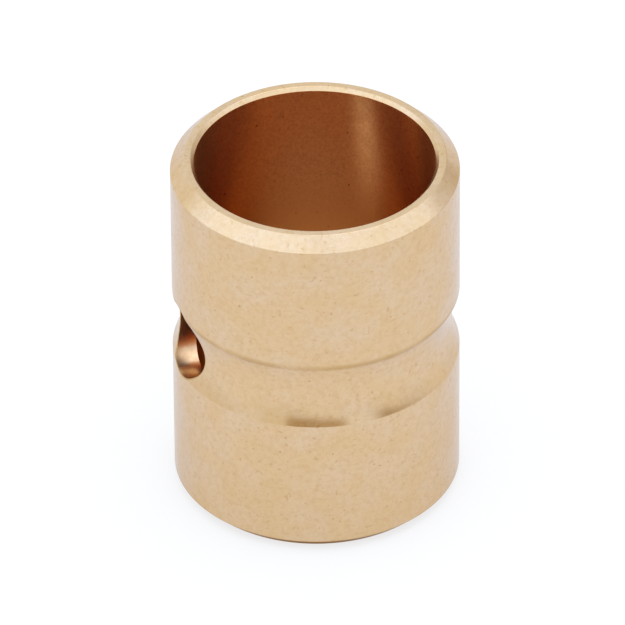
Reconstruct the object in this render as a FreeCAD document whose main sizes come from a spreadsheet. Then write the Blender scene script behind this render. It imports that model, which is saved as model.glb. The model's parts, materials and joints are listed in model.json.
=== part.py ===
import FreeCAD, Part
import os

import Sketcher

# A plain sleeve bushing, turned in one piece from bronze. It stands upright on its lower end.
# The axis is +Z and the origin is the middle of the lower end face. Lengths are in millimetres.
# The wall is a simple ring with a chamfer at both outer ends and an edge break at both ends of the bore.
# A shallow oil groove with a round floor runs round the outside at half height. One oil hole, a little
# wider than the groove, passes radially through the wall at -X and joins the groove to the bore.

SIZES = {
    "bore_diameter": 20.0,
    "wall_thickness": 2.0,
    "sleeve_length": 31.7,
    "upper_chamfer": 1.1,
    "lower_chamfer": 0.9,
    "bore_chamfer": 0.35,
    "groove_width": 6.0,
    "groove_depth": 0.65,
    "oil_hole_diameter": 6.6,
}

INNER = SIZES["bore_diameter"] / 2
OUTER = INNER + SIZES["wall_thickness"]
TOP = SIZES["sleeve_length"]

NODE = "bushing"
TOLERANCE = 1e-4

INNER_RADIUS = "Sizes.bore_diameter / 2"
OUTER_RADIUS = "(Sizes.bore_diameter / 2 + Sizes.wall_thickness)"

# The groove's form tool is a disc, so its floor is an arc. The arc's radius follows from the width
# and the depth that it leaves in the outside, and its middle lies outside the wall.
FORM_RADIUS = "((Sizes.groove_width / 2)^2 + Sizes.groove_depth^2) / (2 * Sizes.groove_depth)"
FORM_OFFSET = f"{OUTER_RADIUS} - Sizes.groove_depth + {FORM_RADIUS}"

# The groove and the oil hole both lie half way up the sleeve.
HALF_HEIGHT = "Sizes.sleeve_length / 2"


def add_sheet(doc):
    """Puts each driving dimension in a cell of its own, under the name that the model uses."""
    sheet = doc.addObject("Spreadsheet::Sheet", "Sizes")
    for row, (name, value) in enumerate(SIZES.items(), start=1):
        sheet.set(f"A{row}", name)
        sheet.set(f"B{row}", str(value))
        sheet.setAlias(f"B{row}", name)
    doc.recompute()


def add_sketch(body, name, plane_role):
    """Adds an empty sketch on one of the body's own origin planes."""
    sketch = body.newObject("Sketcher::SketchObject", name)
    plane = next(item for item in body.Origin.OriginFeatures if item.Role == plane_role)
    sketch.AttachmentSupport = [(plane, "")]
    sketch.MapMode = "FlatFace"
    return sketch


def drive(sketch, kind, elements, name, expression):
    """Adds a dimension to a sketch and binds it to the sheet."""
    index = sketch.addConstraint(Sketcher.Constraint(kind, *elements, 1.0))
    sketch.renameConstraint(index, name)
    sketch.setExpression(f"Constraints.{name}", expression)


def add_ring(body):
    """The plain ring: the wall's section, turned round the axis."""
    sketch = add_sketch(body, "WallSection", "XZ_Plane")
    corners = [(INNER, 0), (OUTER, 0), (OUTER, TOP), (INNER, TOP)]
    for start, end in zip(corners, corners[1:] + corners[:1]):
        sketch.addGeometry(Part.LineSegment(FreeCAD.Vector(*start, 0), FreeCAD.Vector(*end, 0)))
    for side in range(4):
        sketch.addConstraint(Sketcher.Constraint("Coincident", side, 2, (side + 1) % 4, 1))
        direction = "Horizontal" if side % 2 == 0 else "Vertical"
        sketch.addConstraint(Sketcher.Constraint(direction, side))
    sketch.addConstraint(Sketcher.Constraint("PointOnObject", 0, 1, -1))
    drive(sketch, "DistanceX", (-1, 1, 0, 1), "inner_radius", INNER_RADIUS)
    drive(sketch, "DistanceX", (-1, 1, 0, 2), "outer_radius", OUTER_RADIUS)
    drive(sketch, "DistanceY", (1, 1, 1, 2), "height", "Sizes.sleeve_length")

    ring = body.newObject("PartDesign::Revolution", "Ring")
    ring.Profile = sketch
    ring.ReferenceAxis = (sketch, ["V_Axis"])
    ring.Angle = 360
    return ring


def circle_edge(shape, radius, height):
    """Names the one round edge of this radius that lies at this height on the axis."""
    for number, edge in enumerate(shape.Edges, start=1):
        curve = edge.Curve
        if not isinstance(curve, Part.Circle):
            continue
        if abs(curve.Radius - radius) < TOLERANCE and abs(curve.Center.z - height) < TOLERANCE:
            return f"Edge{number}"
    raise RuntimeError(f"no round edge of radius {radius} at height {height}")


def add_chamfer(body, base, name, places, size):
    """Chamfers round edges, given by radius and height, at 45 degrees."""
    edges = [circle_edge(base.Shape, radius, height) for radius, height in places]
    chamfer = body.newObject("PartDesign::Chamfer", name)
    chamfer.Base = (base, edges)
    chamfer.setExpression("Size", size)
    body.Document.recompute()
    return chamfer


def add_end_chamfers(body, ring):
    """The lead-in chamfers of the outside and the smaller edge breaks of the bore."""
    upper = add_chamfer(body, ring, "UpperChamfer", [(OUTER, TOP)], "Sizes.upper_chamfer")
    lower = add_chamfer(body, upper, "LowerChamfer", [(OUTER, 0)], "Sizes.lower_chamfer")
    return add_chamfer(body, lower, "BoreChamfers", [(INNER, 0), (INNER, TOP)], "Sizes.bore_chamfer")


def add_oil_groove(body):
    """The groove round the outside, cut by turning the form tool's circle round the axis."""
    sketch = add_sketch(body, "GrooveForm", "XZ_Plane")
    centre = FreeCAD.Vector(OUTER + SIZES["groove_width"], TOP / 2, 0)
    sketch.addGeometry(Part.Circle(centre, FreeCAD.Vector(0, 0, 1), SIZES["groove_width"]))
    drive(sketch, "Radius", (0,), "form_radius", FORM_RADIUS)
    drive(sketch, "DistanceX", (-1, 1, 0, 3), "form_offset", FORM_OFFSET)
    drive(sketch, "DistanceY", (-1, 1, 0, 3), "form_height", HALF_HEIGHT)

    groove = body.newObject("PartDesign::Groove", "OilGroove")
    groove.Profile = sketch
    groove.ReferenceAxis = (sketch, ["V_Axis"])
    groove.Angle = 360
    return groove


def add_oil_hole(body):
    """The radial hole: a circle on the plane across the axis, cut outwards to -X through one wall."""
    sketch = add_sketch(body, "OilHoleCircle", "YZ_Plane")
    centre = FreeCAD.Vector(0, TOP / 2, 0)
    sketch.addGeometry(Part.Circle(centre, FreeCAD.Vector(0, 0, 1), SIZES["oil_hole_diameter"] / 2))
    sketch.addConstraint(Sketcher.Constraint("PointOnObject", 0, 3, -2))
    drive(sketch, "DistanceY", (-1, 1, 0, 3), "hole_height", HALF_HEIGHT)
    drive(sketch, "Diameter", (0,), "hole_diameter", "Sizes.oil_hole_diameter")

    hole = body.newObject("PartDesign::Pocket", "OilHole")
    hole.Profile = sketch
    hole.Type = "Length"
    hole.setExpression("Length", f"{OUTER_RADIUS} + Sizes.wall_thickness")
    return hole


def recompute_cut(doc, feature, before):
    """Recomputes and makes sure that a cutting feature has taken material away."""
    doc.recompute()
    after = feature.Shape.Volume
    if after > before - TOLERANCE:
        raise RuntimeError(f"{feature.Name} cuts nothing")
    return after


def check(doc, body):
    """Stops on a failed object or a broken solid."""
    for item in doc.Objects:
        if "Invalid" in item.State or "Error" in item.State:
            raise RuntimeError(f"{item.Name} failed: {item.State}")
    shape = body.Shape
    if shape.isNull() or not shape.isValid() or len(shape.Solids) != 1:
        raise RuntimeError(f"{body.Label} is not one valid solid")


def build_bushing(doc):
    """The whole bushing, one turned and drilled piece."""
    body = doc.addObject("PartDesign::Body", "Bushing")
    body.Label = NODE
    ring = add_ring(body)
    doc.recompute()
    chamfered = add_end_chamfers(body, ring)
    groove = add_oil_groove(body)
    volume = recompute_cut(doc, groove, chamfered.Shape.Volume)
    hole = add_oil_hole(body)
    recompute_cut(doc, hole, volume)
    body.Placement = FreeCAD.Placement(FreeCAD.Vector(0, 0, 0), FreeCAD.Rotation())
    doc.recompute()
    return body


def main():
    doc = FreeCAD.newDocument("Bushing")
    add_sheet(doc)
    body = build_bushing(doc)
    check(doc, body)
    os.makedirs("parts", exist_ok=True)
    body.Shape.exportStep(f"parts/{body.Label}.step")
    print(body.Label, "volume", round(body.Shape.Volume, 3), "box", body.Shape.BoundBox)


main()
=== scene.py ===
"""Looks of the turned bronze sleeve bushing, in metres, on a plain pale floor."""
import json
import math
from collections import namedtuple

import bpy
import numpy as np
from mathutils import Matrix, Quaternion, Vector


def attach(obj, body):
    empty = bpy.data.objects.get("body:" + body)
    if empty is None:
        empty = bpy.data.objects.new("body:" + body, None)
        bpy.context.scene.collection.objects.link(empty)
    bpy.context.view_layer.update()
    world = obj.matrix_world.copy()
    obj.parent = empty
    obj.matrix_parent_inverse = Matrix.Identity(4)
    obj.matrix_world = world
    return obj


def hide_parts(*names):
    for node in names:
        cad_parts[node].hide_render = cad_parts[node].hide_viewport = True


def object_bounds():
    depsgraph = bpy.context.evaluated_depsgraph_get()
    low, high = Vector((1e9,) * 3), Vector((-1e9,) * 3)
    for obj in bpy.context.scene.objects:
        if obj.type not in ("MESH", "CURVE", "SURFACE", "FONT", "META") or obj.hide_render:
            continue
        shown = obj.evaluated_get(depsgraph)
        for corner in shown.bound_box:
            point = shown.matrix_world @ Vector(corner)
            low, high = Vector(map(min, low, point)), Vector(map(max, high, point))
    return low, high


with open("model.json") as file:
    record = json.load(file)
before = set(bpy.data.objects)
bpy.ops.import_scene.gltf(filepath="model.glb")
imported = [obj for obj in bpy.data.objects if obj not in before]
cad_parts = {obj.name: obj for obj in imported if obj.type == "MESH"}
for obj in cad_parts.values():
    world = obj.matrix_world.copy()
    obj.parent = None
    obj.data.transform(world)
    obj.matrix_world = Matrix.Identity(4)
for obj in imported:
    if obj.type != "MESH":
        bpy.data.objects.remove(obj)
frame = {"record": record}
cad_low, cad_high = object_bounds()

MM = 0.001
NODE = "bushing"
BODY = "root"

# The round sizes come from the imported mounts, the length from the solid's box.
mounts = {mount["name"]: mount for mount in frame["record"]["mounts"]}
INNER = mounts["bore"]["dims"]["r_mm"] * MM
OUTER = mounts["outside"]["dims"]["r_mm"] * MM
HOLE = mounts["oil_hole"]["dims"]["r_mm"] * MM
TOP = cad_high.z
MIDDLE = mounts["oil_hole"]["pos_m"][2]

# The outer chamfers and the groove are as on the solid. The bore's edge break is 0.05 mm smaller than
# on the solid, as the photograph shows it.
UPPER_CHAMFER = 1.1 * MM
LOWER_CHAMFER = 0.9 * MM
BORE_CHAMFER = 0.3 * MM
GROOVE_WIDTH = 6.0 * MM
GROOVE_DEPTH = 0.65 * MM

# Every edge is broken by a trace, as a deburred edge is.
EDGE_ROUND = 0.07 * MM
EDGE_STEPS = 4
HOLE_BREAK = 0.06 * MM
DRILL_MARGIN = 5 * HOLE_BREAK

# The mesh: a row close to each edge keeps the shading of the straight stretches flat. Faces that meet at more
# than the sharp angle, in degrees, are shaded apart.
SUPPORT = 0.12 * MM
ROW_HEIGHT = 0.8 * MM
TURN_STEPS = 360
GROOVE_STEPS = 28
HOLE_STEPS = 160
SHARP_ANGLE = 35

# The photograph's camera: 625 px square, seen from 36.4 degrees above, weak perspective.
PHOTO_SIZE = 625
PHOTO_FOCAL = 10555.0
PHOTO_CENTRE = (315.96, 312.30)
CAMERA_AZIMUTH = -18.5
CAMERA_ELEVATION = 36.41
CAMERA_ROLL = -0.414
CAMERA_DISTANCE = 73.46 * OUTER
CLIP_START = 0.01
CLIP_END = 10
SENSOR = 36.0

# The white tent and its table, which glows a little, with 1 for the white of the picture.
TENT_LIGHT = (1.02, 1.05, 1.05)
FLOOR_REACH = 1.5
FLOOR_WHITE = 0.24
FLOOR_GLOW = 0.73

# Soft-edged patches of light and dark in the tent, laid over one another in the order of the list. The
# azimuth is counted from the camera's side, angles are in degrees, and the softness is the share of a patch's
# reach by which its edge fades, inwards and outwards. The power makes a patch squarer than an ellipse.
Patch = namedtuple("Patch", "azimuth elevation half_width half_height softness colour")
OVERHEAD = Patch(125, 74, 24, 22, 0.25, (1.9, 2.05, 2.35))
BEHIND = Patch(185, 38, 26, 18, 0.6, (1.08, 1.17, 1.25))
LOW_BEHIND = Patch(130, 18, 38, 26, 0.5, (0.76, 0.73, 0.68))
LEFT_WINDOW = Patch(-50, 50, 50, 20, 0.18, (1.36, 1.55, 1.86))
RIGHT_WINDOW = Patch(56, 50, 50, 20, 0.3, (1.28, 1.42, 1.64))
DARK_FRONT = Patch(0, 7, 20, 11, 0.12, (0.46, 0.29, 0.05))
DARK_RIGHT = Patch(62, 5, 19, 9, 0.5, (0.45, 0.34, 0.2))
LIGHT_PATCHES = [OVERHEAD, BEHIND, LOW_BEHIND, LEFT_WINDOW, RIGHT_WINDOW, DARK_FRONT, DARK_RIGHT]
PATCH_POWER = 4

# The finishes. The tone and the roughness are the plain values under the textures, and the edge is the colour
# at a glancing angle. The stretch is how far the turning marks draw out a reflection, and its quarter turn
# sets it across the marks, which run round the axis.
Finish = namedtuple("Finish", "name tone edge roughness stretch")
OUTSIDE_FINISH = Finish("turned_bronze", (0.7, 0.5, 0.3), (0.88, 0.88, 0.93), 0.2, 0.75)
# The bore's redder tone and glancing colour are painted shade, for the light that bounces inside the bore.
BORE_FINISH = Finish("bore_bronze", (0.7, 0.36, 0.15), (0.8, 0.55, 0.4), 0.3, 0.7)
HOLE_FINISH = Finish("hole_bronze", (0.64, 0.44, 0.26), (0.9, 0.8, 0.7), 0.22, 0.0)
STRETCH_TURN = 0.25

# The places of the finishes in the sleeve's list of materials.
OUTSIDE_FACES = 0
BORE_FACES = 1
HOLE_FACES = 2

# Colours of the outside, from the broad clouds down to the pits, then the browns of painted shade.
PALE_CLOUD = (0.725, 0.538, 0.36)
WARM_CLOUD = (0.715, 0.508, 0.292)
MOTTLE = (0.62, 0.41, 0.2)
GRAIN = (0.6, 0.42, 0.22)
DASH = (0.55, 0.34, 0.15)
FRECKLE = (0.52, 0.3, 0.12)
PIT = (0.36, 0.2, 0.08)
# PAINTED_SHADE_BROWN is painted shade: in the groove, at the hole's rim and low on the wall.
PAINTED_SHADE_BROWN = (0.5, 0.315, 0.12)
# FOOT_SHADE and FOOT_SHADE_EDGE are painted shade: the lower chamfer's painted reflection of the dark gap
# under the foot.
FOOT_SHADE = (0.25, 0.11, 0.022)
FOOT_SHADE_EDGE = (0.5, 0.3, 0.1)

# Colours of the bore and of the oil hole. The bore's reds are painted shade, for the light that bounces
# inside it.
BORE_LIGHT = (0.765, 0.392, 0.156)
BORE_DARK = (0.725, 0.357, 0.136)
BORE_GRAIN = (0.48, 0.19, 0.06)
BORE_DEEP_SHADE = (0.73, 0.27, 0.065)
BORE_LOWEST = (0.2, 0.1, 0.045)
BORE_SPECK = (0.2, 0.07, 0.03)
HOLE_LIGHT = (0.66, 0.44, 0.255)
HOLE_DARK = (0.61, 0.39, 0.215)

# Heights and radii of places on the metal, in millimetres, as its textures measure them.
MIDDLE_MM = MIDDLE / MM
HOLE_MM = HOLE / MM
GROOVE_FOOT = (MIDDLE - GROOVE_WIDTH / 2) / MM
GROOVE_HEAD = (MIDDLE + GROOVE_WIDTH / 2) / MM

# The fine relief of the surfaces, in millimetres.
TURNING_LENGTH = 12.0
TURNING_WIDTH = 0.15
BORE_TURNING_WIDTH = 0.2
TURNING_DEPTH = 0.0012
BORE_TURNING_DEPTH = 0.002
WAVE_SIZE = 4.0
WAVE_DEPTH = 0.17
GRAIN_DEPTH = 0.0012
BORE_GRAIN_DEPTH = 0.001
HOLE_DEPTH = 0.003


def unit(vector):
    return vector / np.linalg.norm(vector)


def rounded_corner(before, corner, after, radius, steps):
    """Points of a small arc that replaces a corner of the section."""
    into = unit(before - corner)
    out = unit(after - corner)
    half = math.acos(float(np.clip(into @ out, -1, 1))) / 2
    reach = radius / math.tan(half)
    start = corner + into * reach
    end = corner + out * reach
    centre = corner + unit(into + out) * (radius / math.sin(half))
    first = math.atan2(*(start - centre)[::-1])
    last = math.atan2(*(end - centre)[::-1])
    turn = (last - first + math.pi) % (2 * math.pi) - math.pi
    angles = [first + turn * step / steps for step in range(steps + 1)]
    return [centre + radius * np.array([math.cos(angle), math.sin(angle)]) for angle in angles]


def groove_arc():
    """The radius of the groove's round floor, and the radius at which that arc's middle lies."""
    half = GROOVE_WIDTH / 2
    radius = (half ** 2 + GROOVE_DEPTH ** 2) / (2 * GROOVE_DEPTH)
    return radius, OUTER - GROOVE_DEPTH + radius


def groove_floor():
    """The groove's round floor between its two edges, from the lower edge up."""
    radius, centre = groove_arc()
    reach = math.asin(GROOVE_WIDTH / 2 / radius)
    angles = np.linspace(-reach, reach, GROOVE_STEPS + 1)
    radii = centre - radius * np.cos(angles)
    heights = MIDDLE + radius * np.sin(angles)
    return list(np.stack([radii, heights], axis=-1))


def outside_radius(height):
    """The radius of the outside at a height near the groove."""
    radius, centre = groove_arc()
    rise = min(abs(height - MIDDLE), GROOVE_WIDTH / 2)
    return centre - math.sqrt(radius ** 2 - rise ** 2)


def section_corners():
    """The wall's section as (radius, height) corners, counter-clockwise, each marked sharp or not."""
    floor = groove_floor()
    corners = [
        (np.array([INNER, BORE_CHAMFER]), True),
        (np.array([INNER + BORE_CHAMFER, 0.0]), True),
        (np.array([OUTER - LOWER_CHAMFER, 0.0]), True),
        (np.array([OUTER, LOWER_CHAMFER]), True),
    ]
    corners += [(point, index in (0, GROOVE_STEPS)) for index, point in enumerate(floor)]
    corners += [
        (np.array([OUTER, TOP - UPPER_CHAMFER]), True),
        (np.array([OUTER - UPPER_CHAMFER, TOP]), True),
        (np.array([INNER + BORE_CHAMFER, TOP]), True),
        (np.array([INNER, TOP - BORE_CHAMFER]), True),
    ]
    return corners


def stations(start, end):
    """Points strictly between two ends of a straight stretch: one close to each end, the rest even."""
    length = np.linalg.norm(end - start)
    if length < 3 * SUPPORT:
        return []
    inner_length = length - 2 * SUPPORT
    count = max(1, math.ceil(inner_length / ROW_HEIGHT))
    reaches = [SUPPORT + inner_length * step / count for step in range(count + 1)]
    return [start + (end - start) * (reach / length) for reach in reaches]


def section():
    """The closed section with rounded edges and rows enough for smooth shading."""
    corners = section_corners()
    points = []
    for index, (corner, sharp) in enumerate(corners):
        before = corners[index - 1][0]
        after = corners[(index + 1) % len(corners)][0]
        here = rounded_corner(before, corner, after, EDGE_ROUND, EDGE_STEPS) if sharp else [corner]
        if points:
            points += stations(points[-1], here[0])
        points += here
    points += stations(points[-1], points[0])
    return np.array(points)


def ring_mesh():
    """The turned ring, as quads round the axis."""
    profile = section()
    rows = len(profile)
    turn = np.linspace(0, 2 * math.pi, TURN_STEPS, endpoint=False)
    radius = profile[:, 0]
    across = np.outer(np.cos(turn), radius)
    along = np.outer(np.sin(turn), radius)
    up = np.tile(profile[:, 1], (TURN_STEPS, 1))
    vertices = np.stack([across, along, up], axis=-1).reshape(-1, 3)
    step, row = np.meshgrid(np.arange(TURN_STEPS), np.arange(rows), indexing="ij")
    next_step = (step + 1) % TURN_STEPS
    next_row = (row + 1) % rows
    faces = np.stack([step * rows + row, next_step * rows + row,
                      next_step * rows + next_row, step * rows + next_row], axis=-1).reshape(-1, 4)
    mesh = bpy.data.meshes.new("sleeve")
    mesh.from_pydata(vertices.tolist(), [], faces.tolist())
    mesh.validate()
    return mesh


def drill_ring(angle):
    """Points of the drill at one angle, from outside the wall to inside the bore, as (x, y, z).

    The drill widens where it passes the outside and the bore, so it leaves a broken edge at both ends."""
    side = HOLE * math.cos(angle)
    rise = HOLE * math.sin(angle)
    surface = math.sqrt(outside_radius(MIDDLE + rise) ** 2 - side ** 2)
    bore = math.sqrt(INNER ** 2 - side ** 2)
    wide = HOLE + HOLE_BREAK + DRILL_MARGIN
    stages = [
        (surface + DRILL_MARGIN, wide),
        (surface - HOLE_BREAK, HOLE),
        (bore + HOLE_BREAK, HOLE),
        (bore - DRILL_MARGIN, wide),
    ]
    return [(-depth, reach * math.cos(angle), MIDDLE + reach * math.sin(angle)) for depth, reach in stages]


def drill_mesh():
    """A closed rod across the wall at -X, which cuts the oil hole."""
    angles = np.linspace(0, 2 * math.pi, HOLE_STEPS, endpoint=False)
    rings = [drill_ring(angle) for angle in angles]
    stages = len(rings[0])
    vertices = [point for ring in rings for point in ring]
    outer_end = len(vertices)
    inner_end = outer_end + 1
    vertices += [(-(OUTER + MM), 0, MIDDLE), (-(INNER - MM), 0, MIDDLE)]
    faces = []
    for step in range(HOLE_STEPS):
        here = step * stages
        after = (step + 1) % HOLE_STEPS * stages
        faces.append((outer_end, after, here))
        faces.append((inner_end, here + stages - 1, after + stages - 1))
        for stage in range(stages - 1):
            faces.append((here + stage, after + stage, after + stage + 1, here + stage + 1))
    mesh = bpy.data.meshes.new("drill")
    mesh.from_pydata(vertices, [], faces)
    return mesh


def link(name, data):
    """Puts an object with this data in the scene."""
    item = bpy.data.objects.new(name, data)
    bpy.context.scene.collection.objects.link(item)
    return item


def drilled_sleeve():
    """The sleeve with its oil hole cut through."""
    sleeve = link("bronze_sleeve", ring_mesh())
    drill = link("drill", drill_mesh())
    cut = sleeve.modifiers.new("oil_hole", "BOOLEAN")
    cut.operation = "DIFFERENCE"
    cut.object = drill
    cut.solver = "EXACT"
    depsgraph = bpy.context.evaluated_depsgraph_get()
    mesh = bpy.data.meshes.new_from_object(sleeve.evaluated_get(depsgraph))
    sleeve.modifiers.clear()
    sleeve.data = mesh
    bpy.data.objects.remove(drill)
    mesh.shade_smooth()
    mesh.set_sharp_from_angle(angle=math.radians(SHARP_ANGLE))
    return sleeve


def is_socket(value):
    return isinstance(value, bpy.types.NodeSocket)


class Graph:
    """A node tree, with a short call for each kind of node that this scene uses."""

    def __init__(self, tree):
        self.tree = tree

    def node(self, kind, inputs, **settings):
        """Adds a node. An input is named, or numbered, and is a plain value or another node's output."""
        node = self.tree.nodes.new(kind)
        for name, value in settings.items():
            setattr(node, name, value)
        for name, value in inputs.items():
            if is_socket(value):
                self.tree.links.new(value, node.inputs[name])
            else:
                node.inputs[name].default_value = value
        return node

    def math(self, operation, first, second=0.0):
        return self.node("ShaderNodeMath", {0: first, 1: second}, operation=operation).outputs[0]

    def vector(self, operation, first, second, output=0):
        inputs = {0: first, 1: second}
        return self.node("ShaderNodeVectorMath", inputs, operation=operation).outputs[output]

    def dot(self, first, second):
        return self.vector("DOT_PRODUCT", first, second, "Value")

    def length(self, vector):
        return self.vector("LENGTH", vector, (0, 0, 0), "Value")

    def ramp(self, value, start, end, low=0.0, high=1.0):
        """Runs smoothly from low to high while the value runs from start to end."""
        inputs = {"Value": value, "From Min": start, "From Max": end, "To Min": low, "To Max": high}
        return self.node("ShaderNodeMapRange", inputs, interpolation_type="SMOOTHSTEP").outputs[0]

    def mix(self, share, first, second):
        """The first colour, with a share of the second. A plain colour is (red, green, blue).

        The node's sockets for colours are its inputs 6 and 7 and its output 2."""
        first = first if is_socket(first) else (*first, 1)
        second = second if is_socket(second) else (*second, 1)
        inputs = {"Factor": share, 6: first, 7: second}
        return self.node("ShaderNodeMix", inputs, data_type="RGBA").outputs[2]


class Metal(Graph):
    """A metal whose turning marks run round the axis. Places on it are in millimetres."""

    def __init__(self, finish):
        self.material = bpy.data.materials.new(finish.name)
        self.material.use_nodes = True
        super().__init__(self.material.node_tree)
        self.shader = self.tree.nodes["Principled BSDF"]
        self.shader.inputs["Base Color"].default_value = (*finish.tone, 1)
        self.shader.inputs["Specular Tint"].default_value = (*finish.edge, 1)
        self.shader.inputs["Metallic"].default_value = 1.0
        self.shader.inputs["Roughness"].default_value = finish.roughness
        self.shader.inputs["Anisotropic"].default_value = finish.stretch
        self.shader.inputs["Anisotropic Rotation"].default_value = STRETCH_TURN
        tangent = self.node("ShaderNodeTangent", {}, direction_type="RADIAL", axis="Z")
        self.feed("Tangent", tangent.outputs[0])
        metres = self.node("ShaderNodeTexCoord", {}).outputs["Object"]
        self.place = self.vector("MULTIPLY", metres, (1 / MM, 1 / MM, 1 / MM))
        self.radius = self.length(self.vector("MULTIPLY", self.place, (1, 1, 0)))
        separated = self.node("ShaderNodeSeparateXYZ", {0: self.place})
        self.across = separated.outputs["X"]
        self.height = separated.outputs["Z"]

    def feed(self, name, value):
        """Feeds one of the shader's inputs from another node."""
        self.tree.links.new(value, self.shader.inputs[name])

    def noise(self, size, detail):
        """Cloudy noise with grains of this size."""
        inputs = {"Vector": self.place, "Scale": 1 / size, "Detail": detail}
        return self.node("ShaderNodeTexNoise", inputs).outputs["Fac"]

    def streaks(self, length, width):
        """Noise drawn out along the turning direction, on the walls and on the end faces alike."""
        stretched = self.vector("MULTIPLY", self.place, (1 / length, 1 / length, 1 / width))
        outwards = self.math("MULTIPLY", self.radius, 1 / width)
        inputs = {"Vector": stretched, "W": outwards, "Scale": 1.0, "Detail": 1.0}
        return self.node("ShaderNodeTexNoise", inputs, noise_dimensions="4D").outputs["Fac"]

    def tint(self, colour, added, by, start, end, share=1.0):
        """Adds a share of another colour where a value, such as a noise, has run from start to end."""
        return self.mix(self.ramp(by, start, end, high=share), colour, added)

    def bump(self, relief, depth, normal=None):
        """Tilts the surface by a relief that runs from 0 to 1 over this depth."""
        inputs = {"Height": relief, "Strength": 1.0, "Distance": depth * MM}
        if normal is not None:
            inputs["Normal"] = normal
        return self.node("ShaderNodeBump", inputs).outputs["Normal"]


def slope_shade(metal):
    """Faint patches of painted shade on the groove's lower slope."""
    rise = metal.math("SUBTRACT", metal.height, GROOVE_FOOT)
    below_top = metal.ramp(rise, start=2.4, end=0.2)
    above_edge = metal.ramp(rise, start=-0.05, end=0.05)
    on_slope = metal.math("MULTIPLY", below_top, above_edge)
    patches = metal.ramp(metal.noise(size=5.0, detail=2.0), start=0.35, end=0.65, high=0.3)
    return metal.math("MULTIPLY", on_slope, patches)


def edge_shade(metal):
    """A painted shade line, ochre, along the groove's upper edge, fainter in places."""
    distance = metal.math("ABSOLUTE", metal.math("SUBTRACT", metal.height, GROOVE_HEAD))
    line = metal.ramp(distance, start=0.45, end=0.0, high=0.7)
    strength = metal.ramp(metal.noise(size=4.0, detail=2.0), start=0.1, end=0.55)
    return metal.math("MULTIPLY", line, strength)


def foot_shade(metal):
    """Painted shade on the foot of the wall, and a trace of painted shade that fades out upwards."""
    foot = metal.ramp(metal.height, start=1.1, end=0.2, high=0.9)
    low_shade = metal.ramp(metal.height, start=14.0, end=2.0, high=0.1)
    return metal.math("MAXIMUM", foot, low_shade)


def rim_shade(metal):
    """Painted shade as a dark rim round the oil hole, on the -X side only."""
    from_axis = metal.vector("SUBTRACT", metal.place, (0, 0, MIDDLE_MM))
    distance = metal.length(metal.vector("MULTIPLY", from_axis, (0, 1, 1)))
    rim = metal.ramp(distance, start=HOLE_MM + 0.2, end=HOLE_MM + 0.05, high=0.9)
    on_hole_side = metal.math("LESS_THAN", metal.across, 0.0)
    return metal.math("MULTIPLY", on_hole_side, rim)


def painted_shade(metal):
    """How much painted shade the outside gets: at each place, the strongest of its four painted shades."""
    on_groove = metal.math("MAXIMUM", slope_shade(metal), edge_shade(metal))
    on_wall = metal.math("MAXIMUM", on_groove, foot_shade(metal))
    return metal.math("MAXIMUM", on_wall, rim_shade(metal))


def bronze():
    """Fine-turned bronze: mottled, with fine grain, short turning dashes and a few small pits."""
    metal = Metal(OUTSIDE_FINISH)
    cloud = metal.noise(size=3.0, detail=3.0)
    mottle = metal.noise(size=0.5, detail=3.0)
    grain = metal.noise(size=0.2, detail=1.0)
    dashes = metal.streaks(length=1.1, width=0.2)
    freckles = metal.noise(size=0.35, detail=0.0)
    pits = metal.noise(size=0.3, detail=0.0)
    colour = metal.tint(PALE_CLOUD, WARM_CLOUD, by=cloud, start=0.3, end=0.7)
    colour = metal.tint(colour, MOTTLE, by=mottle, start=0.35, end=0.9, share=0.6)
    colour = metal.tint(colour, GRAIN, by=grain, start=0.3, end=0.9, share=0.3)
    colour = metal.tint(colour, DASH, by=dashes, start=0.62, end=0.85, share=0.4)
    colour = metal.tint(colour, FRECKLE, by=freckles, start=0.68, end=0.88, share=0.45)
    colour = metal.tint(colour, PIT, by=pits, start=0.8, end=0.9, share=0.6)
    # Lays the painted shade over the metal's colour.
    colour = metal.mix(painted_shade(metal), colour, PAINTED_SHADE_BROWN)
    # Painted shade on the lower chamfer, in its colour and in its glancing tint.
    chamfer_shade = metal.ramp(metal.height, start=1.0, end=0.75, high=0.85)
    metal.feed("Base Color", metal.mix(chamfer_shade, colour, FOOT_SHADE))
    metal.feed("Specular Tint", metal.mix(chamfer_shade, OUTSIDE_FINISH.edge, FOOT_SHADE_EDGE))
    metal.feed("Roughness", metal.ramp(mottle, start=0.2, end=0.8, low=0.18, high=0.22))
    turned = metal.bump(metal.streaks(TURNING_LENGTH, TURNING_WIDTH), TURNING_DEPTH)
    waves = metal.noise(size=WAVE_SIZE, detail=0.0)
    wavy = metal.bump(waves, WAVE_DEPTH, turned)
    metal.feed("Normal", metal.bump(grain, GRAIN_DEPTH, wavy))
    return metal.material


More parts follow.
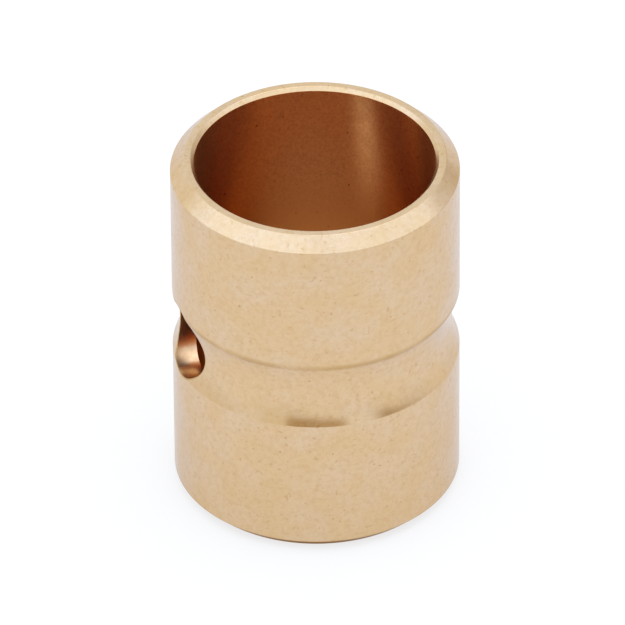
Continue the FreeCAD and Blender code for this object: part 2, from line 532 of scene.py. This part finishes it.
def bore_bronze():
    """The bore: painted shade makes it redder than the outside and redder still deeper down. It is darker low
    down, with coarse grain and dark specks.
    """
    metal = Metal(BORE_FINISH)
    mottle = metal.noise(size=0.8, detail=2.0)
    grain = metal.noise(size=0.22, detail=2.0)
    specks = metal.noise(size=0.4, detail=0.0)
    colour = metal.tint(BORE_LIGHT, BORE_DARK, by=mottle, start=0.3, end=0.7)
    colour = metal.tint(colour, BORE_GRAIN, by=grain, start=0.3, end=0.85, share=0.6)
    # Painted shade: redder deeper in the bore.
    colour = metal.tint(colour, BORE_DEEP_SHADE, by=metal.height, start=25.0, end=17.0, share=0.8)
    colour = metal.tint(colour, BORE_LOWEST, by=metal.height, start=11.0, end=5.5)
    colour = metal.tint(colour, BORE_SPECK, by=specks, start=0.82, end=0.88, share=0.8)
    metal.feed("Base Color", colour)
    metal.feed("Roughness", metal.ramp(mottle, start=0.2, end=0.8, low=0.28, high=0.32))
    turned = metal.bump(metal.streaks(TURNING_LENGTH, BORE_TURNING_WIDTH), BORE_TURNING_DEPTH)
    metal.feed("Normal", metal.bump(grain, BORE_GRAIN_DEPTH, turned))
    return metal.material


def hole_bronze():
    """The drilled wall of the oil hole."""
    metal = Metal(HOLE_FINISH)
    mottle = metal.noise(size=0.6, detail=2.0)
    metal.feed("Base Color", metal.tint(HOLE_LIGHT, HOLE_DARK, by=mottle, start=0.3, end=0.7))
    metal.feed("Roughness", metal.ramp(mottle, start=0.2, end=0.8, low=0.2, high=0.26))
    metal.feed("Normal", metal.bump(mottle, HOLE_DEPTH))
    return metal.material


def add_stage():
    """The pale floor: a white table that glows a little, as in a light tent."""
    near = -FLOOR_REACH
    far = FLOOR_REACH
    corners = [(near, near, 0), (far, near, 0), (far, far, 0), (near, far, 0)]
    mesh = bpy.data.meshes.new("floor")
    mesh.from_pydata(corners, [], [(0, 1, 2, 3)])
    floor = link("floor", mesh)
    material = bpy.data.materials.new("pale_floor")
    material.use_nodes = True
    shader = material.node_tree.nodes["Principled BSDF"]
    shader.inputs["Base Color"].default_value = (FLOOR_WHITE, FLOOR_WHITE, FLOOR_WHITE, 1)
    shader.inputs["Roughness"].default_value = 1.0
    shader.inputs["Specular IOR Level"].default_value = 0.0
    shader.inputs["Emission Color"].default_value = (1, 1, 1, 1)
    shader.inputs["Emission Strength"].default_value = FLOOR_GLOW
    mesh.materials.append(material)


def direction(azimuth, elevation):
    """The unit vector towards a place in the studio, with the azimuth counted from the camera's side."""
    turn = math.radians(CAMERA_AZIMUTH + azimuth)
    rise = math.radians(elevation)
    return Vector((math.sin(turn) * math.cos(rise), -math.cos(turn) * math.cos(rise), math.sin(rise)))


def off_middle(graph, view, towards, half_angle):
    """How far a view is off a patch's middle in one direction: 1 at the half angle, to the patch's power."""
    scaled = towards * (1 / math.sin(math.radians(half_angle)))
    return graph.math("POWER", graph.math("ABSOLUTE", graph.dot(view, scaled)), PATCH_POWER)


def light_patch(graph, colour, view, patch):
    """Lays a soft-edged patch of light or dark, a rounded rectangle, over the studio's colour."""
    centre = direction(patch.azimuth, patch.elevation)
    aside = direction(patch.azimuth + 90, 0)
    across = off_middle(graph, view, aside, patch.half_width)
    along = off_middle(graph, view, centre.cross(aside), patch.half_height)
    reach = graph.math("POWER", graph.math("ADD", across, along), 1 / PATCH_POWER)
    inside = graph.ramp(reach, 1 + patch.softness, 1 - patch.softness)
    facing = graph.math("GREATER_THAN", graph.dot(view, centre), 0.0)
    return graph.mix(graph.math("MULTIPLY", inside, facing), colour, patch.colour)


def add_world():
    """The plain soft light of a white studio tent."""
    world = bpy.data.worlds.new("studio")
    world.use_nodes = True
    graph = Graph(world.node_tree)
    view = graph.node("ShaderNodeTexCoord", {}).outputs["Generated"]
    colour = TENT_LIGHT
    for patch in LIGHT_PATCHES:
        colour = light_patch(graph, colour, view, patch)
    background = world.node_tree.nodes["Background"]
    world.node_tree.links.new(colour, background.inputs["Color"])
    background.inputs["Strength"].default_value = 1.0
    bpy.context.scene.world = world


def add_camera():
    """The photograph's view: long lens, slightly rolled, the object a little off the middle."""
    back = direction(0, CAMERA_ELEVATION)
    look = (-back).to_track_quat("-Z", "Y")
    scale = CAMERA_DISTANCE / PHOTO_FOCAL
    aside = (PHOTO_SIZE / 2 - PHOTO_CENTRE[0]) * scale
    above = (PHOTO_CENTRE[1] - PHOTO_SIZE / 2) * scale
    data = bpy.data.cameras.new("photo_camera")
    data.sensor_width = SENSOR
    data.lens = PHOTO_FOCAL / PHOTO_SIZE * SENSOR
    data.clip_start = CLIP_START
    data.clip_end = CLIP_END
    camera = link("photo_camera", data)
    camera.rotation_mode = "QUATERNION"
    camera.rotation_quaternion = look @ Quaternion((0, 0, 1), math.radians(CAMERA_ROLL))
    camera.location = Vector((0, 0, TOP / 2)) + back * CAMERA_DISTANCE
    camera.location += camera.rotation_quaternion @ Vector((aside, above, 0))
    bpy.context.scene.camera = camera


def finish_of(centre):
    """Which finish a face gets, by its centre. The broken edge round the hole belongs to the outside."""
    from_axis = math.hypot(centre.x, centre.y)
    from_hole = math.hypot(centre.y, centre.z - MIDDLE)
    if from_axis < INNER + 0.02 * MM:
        return BORE_FACES
    if centre.x < 0 and from_hole < HOLE + 0.3 * HOLE_BREAK:
        return HOLE_FACES
    return OUTSIDE_FACES


def dress(sleeve):
    """Gives the outside, the bore and the oil hole their own finish."""
    mesh = sleeve.data
    mesh.materials.clear()
    for material in (bronze(), bore_bronze(), hole_bronze()):
        mesh.materials.append(material)
    for face in mesh.polygons:
        face.material_index = finish_of(face.center)


sleeve = drilled_sleeve()
dress(sleeve)
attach(sleeve, BODY)
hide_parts(NODE)
add_stage()
add_world()
add_camera()
bpy.context.scene.view_settings.view_transform = "Standard"
